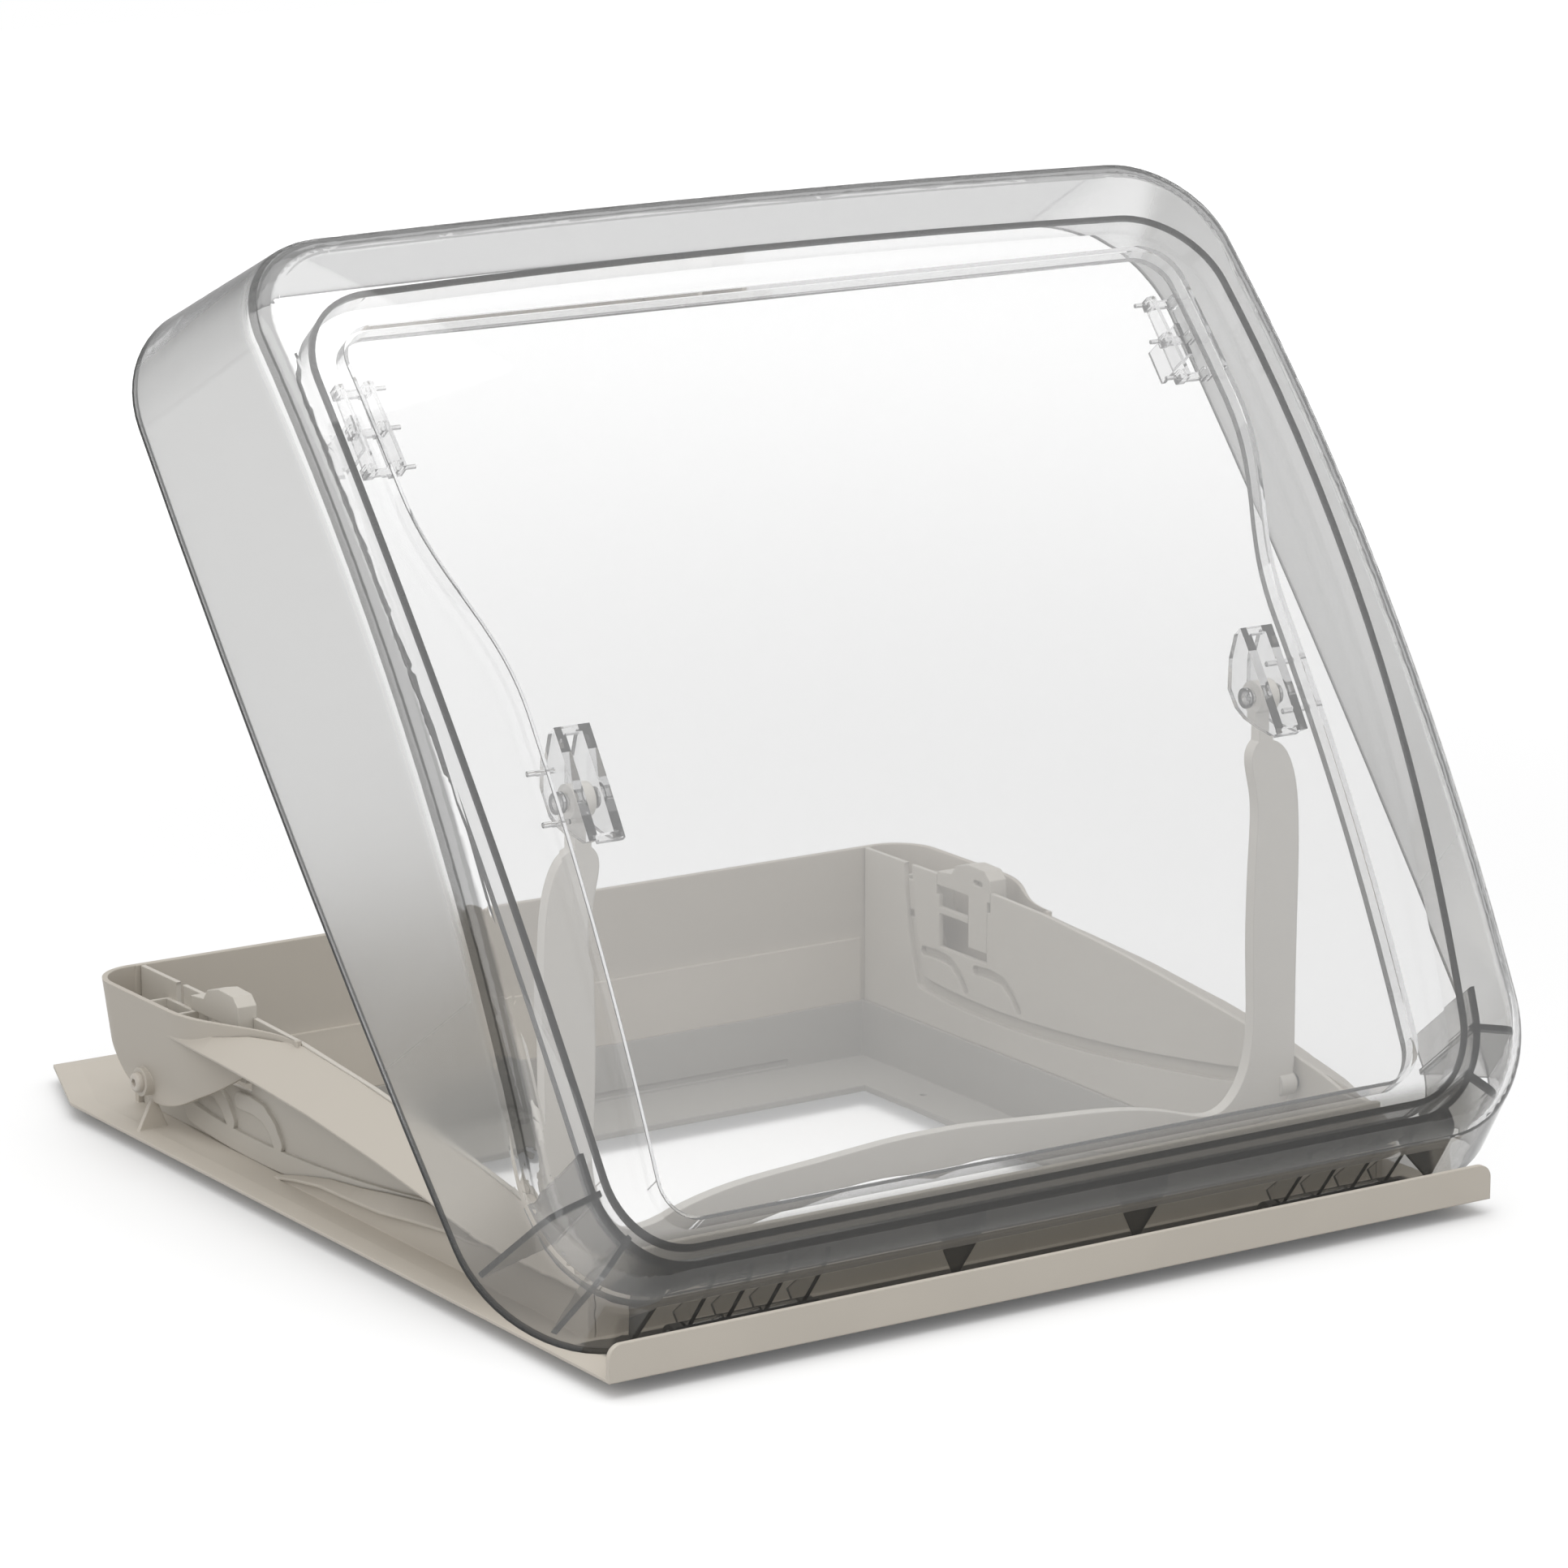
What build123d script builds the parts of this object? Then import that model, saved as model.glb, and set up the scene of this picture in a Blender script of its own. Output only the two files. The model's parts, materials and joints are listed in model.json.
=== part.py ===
from build123d import *
import os
from math import cos, degrees, atan2, hypot, radians, sin, tan

# Caravan roof vent: a hinged double-skinned clear dome over a beige roof frame.
# Millimetres, +Z up. The origin is the centre of the roof cut-out, on the roof skin.
# The hinge runs along X at the front (-Y); the dome stands open, as in the photograph.

os.makedirs("parts", exist_ok=True)

# Roof cut-out and the neck that drops through it
cutout = 400.0
cutout_gap = 0.5
neck_wall = 4.5
neck_depth = 40.0
overrun = 5.0

# Flange on the roof, with the upstand that hides the hinge
flange_width = 447.0
flange_front = 246.7
flange_back = 274.8
flange_thickness = 2.5
flange_corner_cut = 21.5
flange_corner_run = 59.0
flange_edge_thickness = 1.4
flange_edge_width = 9.0
lip_height = 15.7
lip_thickness = 2.5
lip_corner = 6.0

# Collar walls
collar_height = 66.6
collar_wall = 3.0
front_wall_height = 35.0
wall_step = 0.8
step_height = 22.0
plate_thickness = 2.2
plate_seat_depth = 9.3
seat_gap = 0.1

# Latch housings beside the back half of the collar
housing_reach = 24.0
housing_foot_reach = 11.0
housing_skin = 2.5
housing_corner = 22.0
housing_straight_end = 121.0
housing_front = 46.0
housing_foot = 5.0
nose_fullness_share = 1.2
gusset_inner = 5.0
gusset_outer = 21.2
gusset_top = 12.5
gusset_height = 18.0
gusset_thickness = 2.5

# Side fairings that run forward from the housings
fairing_reach = 22.5
fairing_skin = 3.0
curb_thickness = 3.0
curb_gap = 0.6
curb_reach = 6.5
curb_edge = 1.2

# Inner frame clipped into the neck, with the ledge round the clear opening
inner_wall = 1.4
ledge_level = 36.8
ledge_thickness = 3.0
ledge_foot = 3.0
opening_half_width = 165.0
opening_back = 149.0
opening_front = 165.0
trim_hole = 3.5
trim_hole_inset = 14.0
trim_hole_spacing = 240.0
vent_slot_height = 3.0
vent_slot_width = 300.0
neck_screw = 2.5
neck_screw_bite = 10.0
neck_screw_bore = 12.0
neck_screw_head = 3.6
neck_screw_head_height = 1.4
neck_screws_per_side = 3
neck_screw_spacing = 130.0

# Hinge behind the lip
hinge_setback = 20.7
hinge_height = 8.0
hinge_pin = 6.0
hinge_barrel = 10.2
running_gap = 0.05
knuckle_inner = 121.0
knuckle_outer = 178.0
lug_thickness = 5.0
lug_gap = 0.4
rib_thickness = 2.4
ribs_per_knuckle = 4

# Dome, in its own frame: along from the hinge axis, up from the rim plane
open_angle = 50.4
dome_wall = 3.0
dome_draft_angle = 13.0
rim_front = 4.0
rim_back = 487.0
rim_front_half = 260.0
rim_back_half = 266.0
rim_side_bow = 5.0
rim_back_bow = 4.0
rim_front_radius = 58.0
rim_back_radius = 58.0
crown_front_along = 6.0
crown_front_up = 40.6
crown_middle_along = 240.0
crown_middle_up = 88.2
crown_back_along = 465.0
crown_back_up = 82.5
crown_fillet = 13.0

# Inner shell bonded under the crown: a hollow border round a raised pane
bond_gap = 0.3
shell_skin = 2.2
pane_drop = 3.5
border_drop = 12.3
loop_front = 18.3
loop_back = 438.0
loop_front_inset = 45.3
loop_back_inset = 35.5
loop_side_bow = 7.9
loop_back_bow = 5.0
loop_front_radius = 36.5
loop_back_radius = 41.0
window_front = 32.0
window_back = 422.0
window_front_inset = 24.7
window_back_inset = 19.5
window_bend_start = 240.0
window_bend_end = 345.0
window_radius = 16.0

# Rib bar in the front skirt
rib_bar_along = 12.0
rib_bar_wall = 2.0
rib_bar_foot = 3.0
rib_bar_side = 62.0
centre_rib_place = 46.0
corner_ribs = 3
corner_rib_first = 12.0
corner_rib_step = 27.0

# Bow: the U-shaped support, its pivot in the dome and its pins in the side tracks
pivot_along = 206.9
pivot_up = 64.1
bow_length = 176.4
bow_lean_ratio = 1.381
bow_arm_inset = 14.4
bow_arm_width = 23.4
bow_thickness = 6.0
bow_eye_inset = 21.7
bow_eye_length = 7.4
bow_eye_radius = 7.2
bow_neck_length = 19.5
bow_boss_radius = 5.5
bow_boss_length = 8.0
pivot_pin = 6.0
slide_pin = 6.0
slide_pin_grip = 5.0
track_clearance = 0.35
track_steps = 14
lock_angle = 87.5
lock_steps = 5
channel_gap = 0.6
channel_skin = 1.4
channel_rim = 1.5
channel_top = 40.0

# Clear brackets under the inner shell
ear_thickness = 4.5
ear_gap = 0.3
ear_length = 50.0
ear_depth = 10.6
ear_web = 3.0
ear_rod = 2.4
ear_rod_reach = 12.5
ear_rod_front = 9.0
ear_rod_back = 13.0
pin_head = 9.0
pin_head_height = 1.6
hook_inset = 24.0
hook_spread = 13.5
hook_rail = 2.0
hook_along = 382.0
hook_length = 42.0
hook_depth = 8.0
hook_cross = 3.0
hook_block = 4.5
hook_block_depth = 6.0
hook_peg = 2.0
hook_peg_reach = 6.0
hook_leg = 2.2
hook_leg_shift = 3.4
hook_leg_length = 16.0
hook_leg_foot = 42.0

# Latch: a sprung slider in the guide plate and a striker behind it
slider_back = 133.0
slider_length = 43.5
slider_depth = 9.5
slider_head_low = 61.6
slider_head_high = 76.5
slider_lip = 3.0
slider_gap = 0.3
stem_width = 15.0
stem_depth = 5.0
stem_middle = 99.5
stem_low = 36.5
slider_travel = 4.5
slider_mark = 2.5
striker_back = 168.0
striker_length = 28.0
striker_depth = 13.0
striker_low = 44.0
striker_high = 58.0
striker_plate = 2.0
striker_bar = 4.0

# Spring detents and latch windows in the guide plate
detent_width = 4.6
detent_pitch = 43.0
latch_window_back = 131.0
latch_window_low = 31.5
latch_shelf_low = 48.0
latch_shelf_high = 51.0

# Screws through the housings
side_screw_along = 157.0
side_screw_height = 24.5
side_screw = 4.0
side_screw_head = 9.0
side_screw_head_height = 3.0
side_screw_socket = 2.0
side_screw_shank = 12.0
boss_radius = 6.5
boss_height = 8.0

# Derived places
neck_out = cutout / 2 - cutout_gap
neck_in = neck_out - neck_wall
plate_out = neck_in + plate_thickness
foot_level = -neck_depth - ledge_foot
hinge_y = -flange_front + hinge_setback
bow_arm_middle = neck_in - bow_arm_inset
bow_eye_middle = neck_in - bow_eye_inset
bow_arm_outer = bow_arm_middle + bow_arm_width / 2
loop_front_half = rim_front_half - loop_front_inset
loop_back_half = rim_back_half - loop_back_inset
window_front_half = loop_front_half - window_front_inset
window_back_half = loop_back_half - window_back_inset
hook_middle = loop_back_half - hook_inset
hook_leg_place = hook_middle + hook_leg_shift
dome_turn = radians(open_angle)
dome_top = Plane(
    origin=(0, hinge_y, hinge_height), x_dir=(1, 0, 0), z_dir=(0, -sin(dome_turn), cos(dome_turn))
)
dome_side = Plane(
    origin=(0, hinge_y, hinge_height), x_dir=(0, cos(dome_turn), sin(dome_turn)), z_dir=(1, 0, 0)
)
dome_up = Axis(dome_top.origin, dome_top.z_dir)

# Top edge of the side walls: share of the wall's length from the back, share of its height
wall_top_shares = [
    (0.0, 1.0), (0.262, 1.0), (0.382, 0.98), (0.541, 0.905), (0.682, 0.81), (0.785, 0.727),
    (0.863, 0.655), (0.913, 0.595), (0.95, 0.535), (1.0, 0.525),
]

# Fairing stations: share of the wall's length, inner reach, inner height, outer reach and
# outer height, the reaches as shares of the fairing's reach and the heights of the collar's
fairing_shares = [
    (0.180, 0.90, 0.845, 0.95, 0.800),
    (0.262, 0.72, 0.900, 1.00, 0.798),
    (0.308, 0.36, 0.950, 1.00, 0.792),
    (0.380, -0.10, 0.970, 1.00, 0.776),
    (0.508, -0.10, 0.915, 1.00, 0.730),
    (0.648, -0.10, 0.825, 1.00, 0.649),
    (0.768, -0.10, 0.735, 0.98, 0.553),
    (0.880, -0.10, 0.625, 0.88, 0.440),
    (1.0075, -0.10, 0.505, 0.36, 0.350),
]

# Lower edge of the housing skin, from the back: shares of the wall's length and height
housing_edge_shares = [
    (-0.02, 0.62), (0.028, 0.465), (0.039, 0.36), (0.067, 0.26), (0.103, 0.22), (0.14, 0.245),
    (0.185, 0.33), (0.216, 0.41), (0.25, 0.50), (0.285, 0.62), (0.32, 0.75), (0.385, 0.96),
]

# Curb stations: share of the wall's length, inner height, outer reach and outer height, the
# heights as shares of the collar's and the reach as a share of the curb's
curb_shares = [
    (0.341, 0.045, 0.62, 0.040),
    (0.397, 0.120, 0.80, 0.105),
    (0.455, 0.185, 1.00, 0.159),
    (0.522, 0.230, 1.00, 0.171),
    (0.589, 0.290, 1.00, 0.188),
    (0.661, 0.348, 1.00, 0.240),
    (0.740, 0.375, 1.00, 0.290),
    (0.860, 0.400, 1.00, 0.335),
    (1.0075, 0.430, 0.85, 0.375),
]

# One spring detent: shares of the wall's length and height
detent_shares = [(0.131, 0.398), (0.159, 0.408), (0.187, 0.39), (0.208, 0.315), (0.2205, 0.225)]

# Slider head from the back: shares of its length and of its height
slider_head_shares = [(0.0, 0.43), (0.27, 0.5), (0.36, 0.83), (0.59, 1.0), (0.89, 0.97), (0.99, 0.7)]

# Bow outlines below the neck: the arm's inner and outer edges as shares of the arm's width and
# of the bow's length, then the bar's edges as shares of the arm's place and the bow's length
arm_inner_shares = [
    (-0.098, 0.133), (-0.064, 0.204), (0.017, 0.26), (0.021, 0.363), (-0.009, 0.69), (-0.03, 0.896),
]
arm_outer_shares = [
    (0.624, 0.135), (0.782, 0.17), (0.91, 0.227), (0.983, 0.317), (0.995, 0.567), (0.99, 0.8),
    (0.975, 0.964), (0.92, 1.01), (0.73, 1.055),
]
bar_top_shares = [(0.905, 0.023), (0.852, -0.033), (0.703, -0.017), (0.336, 0.032), (0.0, 0.051)]
bar_foot_shares = [(0.96, -0.085), (0.847, -0.11), (0.48, -0.08), (0.0, -0.055)]

# Bow bracket's ear from the pivot: shares of its length and of its depth under the pivot
ear_shares = [
    (0.53, 0.85), (0.40, -0.094), (0.20, -0.943), (0.02, -1.0), (-0.12, -0.755),
    (-0.26, -0.283), (-0.42, 0.377), (-0.46, 1.04),
]


def wall_point(shares):
    # A place on the side wall: along Y from the back inner face, and up from the roof
    return (neck_in - shares[0] * 2 * neck_in, shares[1] * collar_height)


def circle_through(first, second, third):
    # Centre and radius of the circle through three points
    (ax, ay), (bx, by), (cx, cy) = first, second, third
    twice = 2 * (ax * (by - cy) + bx * (cy - ay) + cx * (ay - by))
    a2, b2, c2 = ax * ax + ay * ay, bx * bx + by * by, cx * cx + cy * cy
    x = (a2 * (by - cy) + b2 * (cy - ay) + c2 * (ay - by)) / twice
    y = (a2 * (cx - bx) + b2 * (ax - cx) + c2 * (bx - ax)) / twice
    return x, y, hypot(ax - x, ay - y)


crown_x, crown_y, crown_radius = circle_through(
    (crown_front_along, crown_front_up),
    (crown_middle_along, crown_middle_up),
    (crown_back_along, crown_back_up),
)


def crown_height(along, drop):
    # Height over the rim plane of a surface that lies drop under the crown
    return crown_y + ((crown_radius - drop) ** 2 - (along - crown_x) ** 2) ** 0.5


def swung(along, up, closing):
    # Place in Y and Z of a dome point when the dome has closed by some degrees
    turn = radians(open_angle - closing)
    return (
        hinge_y + along * cos(turn) - up * sin(turn),
        hinge_height + along * sin(turn) + up * cos(turn),
    )


def pin_place(closing, lean):
    # Place of the bow's lower pins, the bow leaning by some degrees from upright
    y, z = swung(pivot_along, pivot_up, closing)
    return (y + bow_length * sin(radians(lean)), z - bow_length * cos(radians(lean)))


def track_points():
    # The run of the pins as dome and bow turn together, then the locking arc at the back
    run = []
    for step in range(track_steps + 1):
        closing = open_angle * step / track_steps
        run.append(pin_place(closing, bow_lean_ratio * closing))
    closed_lean = bow_lean_ratio * open_angle
    for step in range(1, lock_steps + 1):
        lean = closed_lean + (lock_angle - closed_lean) * step / lock_steps
        run.append(pin_place(open_angle, lean))
    return run


def slot_along(points, width):
    # Round-ended slots from point to point, joined into one
    for (y1, z1), (y2, z2) in zip(points, points[1:]):
        with Locations(((y1 + y2) / 2, (z1 + z2) / 2)):
            SlotCenterToCenter(
                hypot(y2 - y1, z2 - z1), width, rotation=degrees(atan2(z2 - z1, y2 - y1))
            )


def left_hand(right_part):
    # The mirrored copy for the left side
    with BuildPart() as mirrored:
        mirror(right_part, about=Plane.YZ)
    return mirrored.part


def finish(part, label):
    part.label = label
    export_step(part, f"parts/{label}.step")


def housing_block(inset, low, high):
    # Plan of the latch housing, lofted between two heights and drawn in towards its foot
    height_span = collar_height - housing_foot
    with BuildPart() as block:
        for level in (high, low):
            share = (level - housing_foot) / height_span
            reach = housing_foot_reach + (housing_reach - housing_foot_reach) * share
            corner_radius = housing_corner * reach / housing_reach - inset
            x_out = neck_out + reach - inset
            back = neck_in + collar_wall - inset
            with BuildSketch(Plane.XY.offset(level)):
                with BuildLine():
                    start = Line((neck_in, back), (x_out - corner_radius, back))
                    corner = RadiusArc(start @ 1, (x_out, back - corner_radius), corner_radius)
                    side = Line(corner @ 1, (x_out, housing_straight_end))
                    nose = Spline(
                        side @ 1,
                        (neck_out, housing_front + inset),
                        tangents=[(0, -1), (0, -1)],
                        tangent_scalars=[nose_fullness_share, nose_fullness_share],
                    )
                    Polyline(nose @ 1, (neck_in, housing_front + inset), start @ 0)
                make_face()
        loft(ruled=True)
    return block.part


def housing_skin_right():
    # The thin housing wall, open above and below, with its curved lower edge and screw boss
    with BuildPart() as skin:
        add(housing_block(0, housing_foot, collar_height))
        add(
            housing_block(housing_skin, housing_foot - overrun, collar_height + overrun),
            mode=Mode.SUBTRACT,
        )
        with BuildSketch(Plane.YZ.offset(neck_in)):
            with BuildLine():
                edge = Spline([wall_point(shares) for shares in housing_edge_shares])
                Polyline(edge @ 1, ((edge @ 1).X, 0), ((edge @ 0).X, 0), edge @ 0)
            make_face()
        extrude(amount=neck_wall + housing_reach + overrun, mode=Mode.SUBTRACT)
        with BuildSketch(Plane.YZ.offset(neck_out + housing_foot_reach)):
            with Locations((side_screw_along, side_screw_height)):
                Circle(boss_radius)
        extrude(amount=boss_height)
        with BuildSketch(Plane.XZ.offset(-side_screw_along)):
            with BuildLine():
                Polyline(
                    (neck_out + gusset_inner, 0),
                    (neck_out + gusset_top, gusset_height),
                    (neck_out + gusset_outer, 0),
                    close=True,
                )
            make_face()
        extrude(amount=gusset_thickness / 2, both=True)
    return skin.part


def fairing_right():
    # The sloping side fairing as a ruled loft through its stations
    with BuildPart() as fairing:
        for along, inner, inner_height, outer, outer_height in fairing_shares:
            y = neck_in - along * 2 * neck_in
            x_in, z_in = neck_out + inner * fairing_reach, inner_height * collar_height
            x_out, z_out = neck_out + outer * fairing_reach, outer_height * collar_height
            with BuildSketch(Plane.XZ.offset(-y)):
                with BuildLine():
                    Polyline(
                        (x_in, z_in),
                        (x_out, z_out + fairing_skin / 3),
                        (x_out, z_out),
                        (x_in, z_in - fairing_skin),
                        close=True,
                    )
                make_face()
        loft(ruled=True)
    return fairing.part


def curb_right():
    # The low curb that rises forward beside the track, its top sloping out over its wall
    x_in = neck_out + curb_gap
    x_wall = x_in + curb_thickness
    with BuildPart() as curb:
        for along, inner_height, outer, outer_height in curb_shares:
            y = neck_in - along * 2 * neck_in
            z_in = inner_height * collar_height
            x_out, z_out = neck_out + outer * curb_reach, outer_height * collar_height
            with BuildSketch(Plane.XZ.offset(-y)):
                with BuildLine():
                    Polyline(
                        (x_in, 0),
                        (x_in, z_in),
                        (x_out, z_out),
                        (x_out, z_out - curb_edge),
                        (x_wall, z_out - curb_edge),
                        (x_wall, 0),
                        close=True,
                    )
                make_face()
        loft(ruled=True)
    return curb.part


def flange_outline(inset):
    # The flange's plan, its two back corners cut off
    half, front, back = flange_width / 2 - inset, inset - flange_front, flange_back - inset
    with BuildSketch() as plan:
        with BuildLine():
            Polyline(
                (0, front),
                (half, front),
                (half, back - flange_corner_run),
                (half - flange_corner_cut, back),
                (0, back),
            )
            mirror(about=Plane.YZ)
        make_face()
    return plan.sketch


def neck_screw_places():
    # Where the screws stand in the neck's two side walls
    first = -(neck_screws_per_side - 1) / 2
    x = neck_in + neck_wall / 2
    return [
        (side * x, (first + place) * neck_screw_spacing)
        for side in (1, -1)
        for place in range(neck_screws_per_side)
    ]


def hinge_lug(x_start):
    # One upright lug on the flange with the hinge pin's bore
    lug_radius = hinge_barrel / 2
    with BuildPart() as lug:
        with BuildSketch(Plane.YZ.offset(x_start)):
            with Locations((hinge_y, hinge_height)):
                Circle(lug_radius)
            with Locations((hinge_y, hinge_height / 2)):
                Rectangle(2 * lug_radius, hinge_height)
        extrude(amount=lug_thickness)
        with BuildSketch(Plane.YZ.offset(x_start)):
            with Locations((hinge_y, hinge_height)):
                Circle(hinge_pin / 2)
        extrude(amount=lug_thickness, mode=Mode.SUBTRACT)
    return lug.part


# Outer frame: flange, lip, neck, back and front walls, housings, fairings and hinge lugs
with BuildPart() as outer_frame:
    with BuildSketch():
        add(flange_outline(0))
    extrude(amount=flange_edge_thickness)
    for level, inset in (
        (flange_edge_thickness, 0),
        (flange_thickness, flange_edge_width),
    ):
        with BuildSketch(Plane.XY.offset(level)):
            add(flange_outline(inset))
    loft(ruled=True)
    with BuildSketch(Plane.XZ.offset(flange_front)) as lip_sketch:
        with Locations((0, lip_height / 2)):
            Rectangle(flange_width, lip_height)
        fillet(lip_sketch.vertices().group_by(Axis.Y)[-1], lip_corner)
    extrude(amount=-lip_thickness)
    with BuildSketch(Plane.XY.offset(-neck_depth)):
        Rectangle(2 * neck_out, 2 * neck_out)
    extrude(amount=neck_depth)
    with BuildSketch():
        with Locations((0, neck_in + collar_wall / 2)):
            Rectangle(2 * neck_out, collar_wall)
    extrude(amount=collar_height)
    with BuildSketch():
        with Locations((0, -neck_in - collar_wall / 2)):
            Rectangle(2 * neck_out, collar_wall)
    extrude(amount=front_wall_height)
    add(housing_skin_right())
    add(left_hand(housing_skin_right()))
    add(fairing_right())
    add(left_hand(fairing_right()))
    add(curb_right())
    add(left_hand(curb_right()))
    with BuildSketch(Plane.XY.offset(-neck_depth - overrun)):
        Rectangle(2 * neck_in, 2 * neck_in)
    extrude(amount=neck_depth + overrun + collar_height + overrun, mode=Mode.SUBTRACT)
    with BuildSketch(Plane.XY.offset(-plate_seat_depth)):
        Rectangle(2 * (plate_out + seat_gap), 2 * neck_in)
    extrude(amount=plate_seat_depth + collar_height + overrun, mode=Mode.SUBTRACT)
    with BuildSketch(Plane.XY.offset(-plate_seat_depth)):
        with Locations((0, neck_in - wall_step / 2)):
            Rectangle(2 * (neck_in - plate_thickness), wall_step)
    extrude(amount=plate_seat_depth + step_height)
    for lug_start in (
        knuckle_inner - lug_gap - lug_thickness,
        knuckle_outer + lug_gap,
    ):
        add(hinge_lug(lug_start))
        add(hinge_lug(-lug_start - lug_thickness))
    for side in (1, -1):
        with BuildSketch(Plane.YZ.offset(side * (neck_out + housing_foot_reach - overrun))):
            with Locations((side_screw_along, side_screw_height)):
                Circle(side_screw / 2)
        extrude(amount=side * (housing_reach + overrun), mode=Mode.SUBTRACT)
    with BuildSketch(Plane.XY.offset(-neck_depth)):
        with Locations(neck_screw_places()):
            Circle(neck_screw / 2)
    extrude(amount=neck_screw_bore, mode=Mode.SUBTRACT)
finish(outer_frame.part, "outer_frame")

# Inner frame: a thin wall up the inside of the neck, the ledge and a foot under the neck
with BuildPart() as inner_frame:
    ring_half = neck_in - seat_gap
    with BuildSketch(Plane.XY.offset(foot_level)):
        Rectangle(2 * ring_half, 2 * ring_half)
    extrude(amount=-foot_level - plate_seat_depth)
    with BuildSketch(Plane.XY.offset(foot_level)):
        Rectangle(2 * neck_out, 2 * neck_out)
    extrude(amount=ledge_foot)
    with BuildSketch(Plane.XY.offset(-ledge_level)):
        Rectangle(2 * (ring_half - inner_wall), 2 * (ring_half - inner_wall))
    extrude(amount=ledge_level, mode=Mode.SUBTRACT)
    with BuildSketch(Plane.XY.offset(foot_level)):
        Rectangle(2 * (ring_half - inner_wall), 2 * (ring_half - inner_wall))
    extrude(amount=-foot_level - ledge_level - ledge_thickness, mode=Mode.SUBTRACT)
    with BuildSketch(Plane.XY.offset(foot_level)):
        with Locations((0, (opening_back - opening_front) / 2)):
            Rectangle(2 * opening_half_width, opening_back + opening_front)
    extrude(amount=-foot_level, mode=Mode.SUBTRACT)
    with BuildSketch(Plane.XZ.offset(-ring_half + inner_wall)):
        with Locations((0, -ledge_level + vent_slot_height)):
            Rectangle(vent_slot_width, vent_slot_height)
    extrude(amount=-inner_wall / 2, mode=Mode.SUBTRACT)
    with BuildSketch(Plane.XY.offset(-ledge_level - ledge_thickness)):
        with GridLocations(2 * (opening_half_width + trim_hole_inset), trim_hole_spacing, 2, 2):
            Circle(trim_hole / 2)
    extrude(amount=ledge_thickness, mode=Mode.SUBTRACT)
    for hole_radius, hole_depth in (
        (neck_screw / 2 + seat_gap, ledge_foot),
        (neck_screw_head / 2 + seat_gap, neck_screw_head_height),
    ):
        with BuildSketch(Plane.XY.offset(foot_level)):
            with Locations(neck_screw_places()):
                Circle(hole_radius)
        extrude(amount=hole_depth, mode=Mode.SUBTRACT)
finish(inner_frame.part, "inner_frame")

# Screws up through the inner frame's foot into the neck
with BuildPart() as neck_screws:
    for screw_radius, screw_reach in (
        (neck_screw_head / 2, neck_screw_head_height),
        (neck_screw / 2, ledge_foot + neck_screw_bite),
    ):
        with BuildSketch(Plane.XY.offset(foot_level)):
            with Locations(neck_screw_places()):
                Circle(screw_radius)
        extrude(amount=screw_reach)
finish(neck_screws.part, "neck_screws")


def track_grooves(rim):
    # The track and the two detents in the side wall's plane, widened all round by the rim
    with BuildSketch() as grooves:
        slot_along(track_points(), slide_pin + 2 * (track_clearance + rim))
        for detent_shift in (0, detent_pitch):
            detent = [
                (y - detent_shift, z) for y, z in (wall_point(shares) for shares in detent_shares)
            ]
            slot_along(detent, detent_width + 2 * rim)
    return grooves.sketch


# Guide plate: the clip-in side wall with the bow's track, the detents and the latch slots
def guide_plate_right():
    top_line = [wall_point(shares) for shares in wall_top_shares]
    plate_front = -neck_in + seat_gap
    plate_back = neck_in - wall_step - seat_gap
    with BuildPart() as plate:
        with BuildSketch(Plane.YZ.offset(neck_in)):
            with BuildLine():
                points = [(plate_back, top_line[0][1])] + top_line[1:-1]
                points += [(plate_front, top_line[-1][1])]
                points += [(plate_front, -plate_seat_depth), (plate_back, -plate_seat_depth)]
                Polyline(points, close=True)
            make_face()
            add(track_grooves(0), mode=Mode.SUBTRACT)
            slot_low = stem_low - slider_travel - slider_gap
            with Locations((stem_middle, slot_low + collar_height / 2)):
                Rectangle(stem_width + 2 * slider_gap, collar_height, mode=Mode.SUBTRACT)
            notch_low = slider_head_low - slider_travel - slider_gap
            with Locations((slider_back - slider_length / 2, notch_low + collar_height / 2)):
                Rectangle(slider_length + 2 * slider_gap, collar_height, mode=Mode.SUBTRACT)
            for window_low, window_high in (
                (latch_window_low, latch_shelf_low),
                (latch_shelf_high, collar_height),
            ):
                window_middle = (stem_middle + latch_window_back) / 2
                with Locations((window_middle, (window_low + window_high) / 2)):
                    Rectangle(
                        latch_window_back - stem_middle,
                        window_high - window_low,
                        mode=Mode.SUBTRACT,
                    )
        extrude(amount=plate_thickness)
        channel_low = flange_thickness + seat_gap
        with BuildSketch(Plane.YZ.offset(plate_out)):
            add(track_grooves(channel_rim))
            with Locations((0, (channel_low + channel_top) / 2)):
                Rectangle(2 * neck_in, channel_top - channel_low, mode=Mode.INTERSECT)
        extrude(amount=channel_gap + channel_skin)
        with BuildSketch(Plane.YZ.offset(plate_out)):
            add(track_grooves(0))
        extrude(amount=channel_gap, mode=Mode.SUBTRACT)
    return plate.part


guide_plate = guide_plate_right()
finish(guide_plate, "guide_plate_right")
finish(left_hand(guide_plate), "guide_plate_left")


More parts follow.
